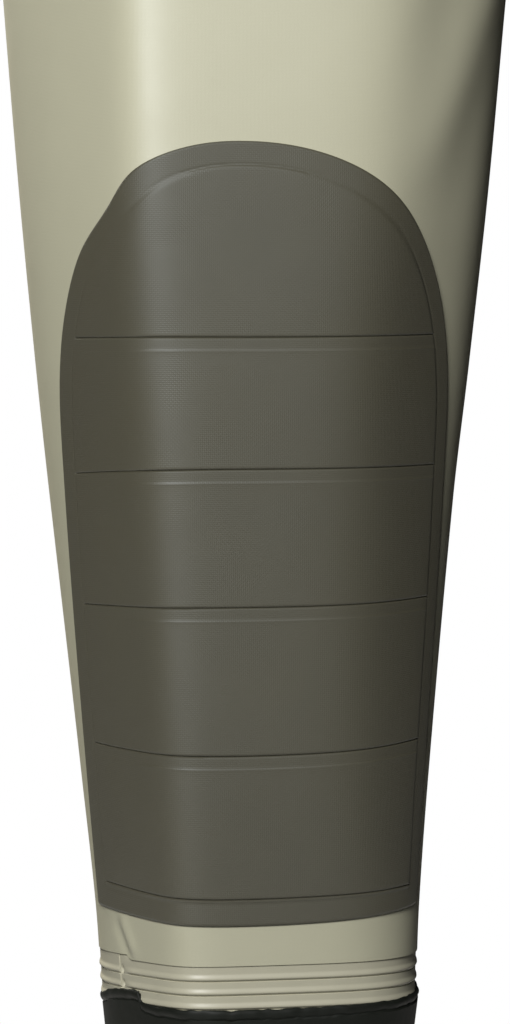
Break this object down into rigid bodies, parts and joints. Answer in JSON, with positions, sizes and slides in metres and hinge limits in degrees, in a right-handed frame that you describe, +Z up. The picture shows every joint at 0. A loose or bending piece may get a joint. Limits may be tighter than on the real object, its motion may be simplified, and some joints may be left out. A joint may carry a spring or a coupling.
{
  "type": "wading boot with wader leg",
  "caption": "Rubber wading boot for the right foot with a lugged sole and a ribbed band that joins it to a tapered cloth leg with a quilted knee and shin pad.",
  "frame": {"origin": "on the flat underside of the heel, below the middle of the heel", "axes": "+Z up the leg, -Y towards the toe, +X towards the wearer's inner side"},
  "size_m": [0.219, 0.3369, 0.7813],
  "materials": {
    "sole_rubber": "matt moulded rubber",
    "insole_felt": "short felted pile",
    "boot_rubber": "satin rubber with a fine grain",
    "rand_rubber": "satin rubber",
    "binding_rubber": "satin rubber tape with a glue bead",
    "band_rubber": "matt rubberised cloth",
    "leg_cloth": "smooth laminated cloth",
    "hem_cloth": "folded and stitched laminated cloth",
    "pad_cloth": "coated twill",
    "pad_panel": "coated twill over thin foam"
  },
  "bodies": {
    "root": {"outsole": "sole_rubber", "insole": "insole_felt", "boot_upper": "boot_rubber", "rand": "rand_rubber", "shaft_binding": "binding_rubber", "ribbed_band": "band_rubber", "leg": "leg_cloth", "top_hem": "hem_cloth", "knee_patch": "pad_cloth", "knee_panel_1": "pad_panel", "knee_panel_2": "pad_panel", "knee_panel_3": "pad_panel", "knee_panel_4": "pad_panel", "knee_panel_5": "pad_panel"}
  },
  "joints": []
}
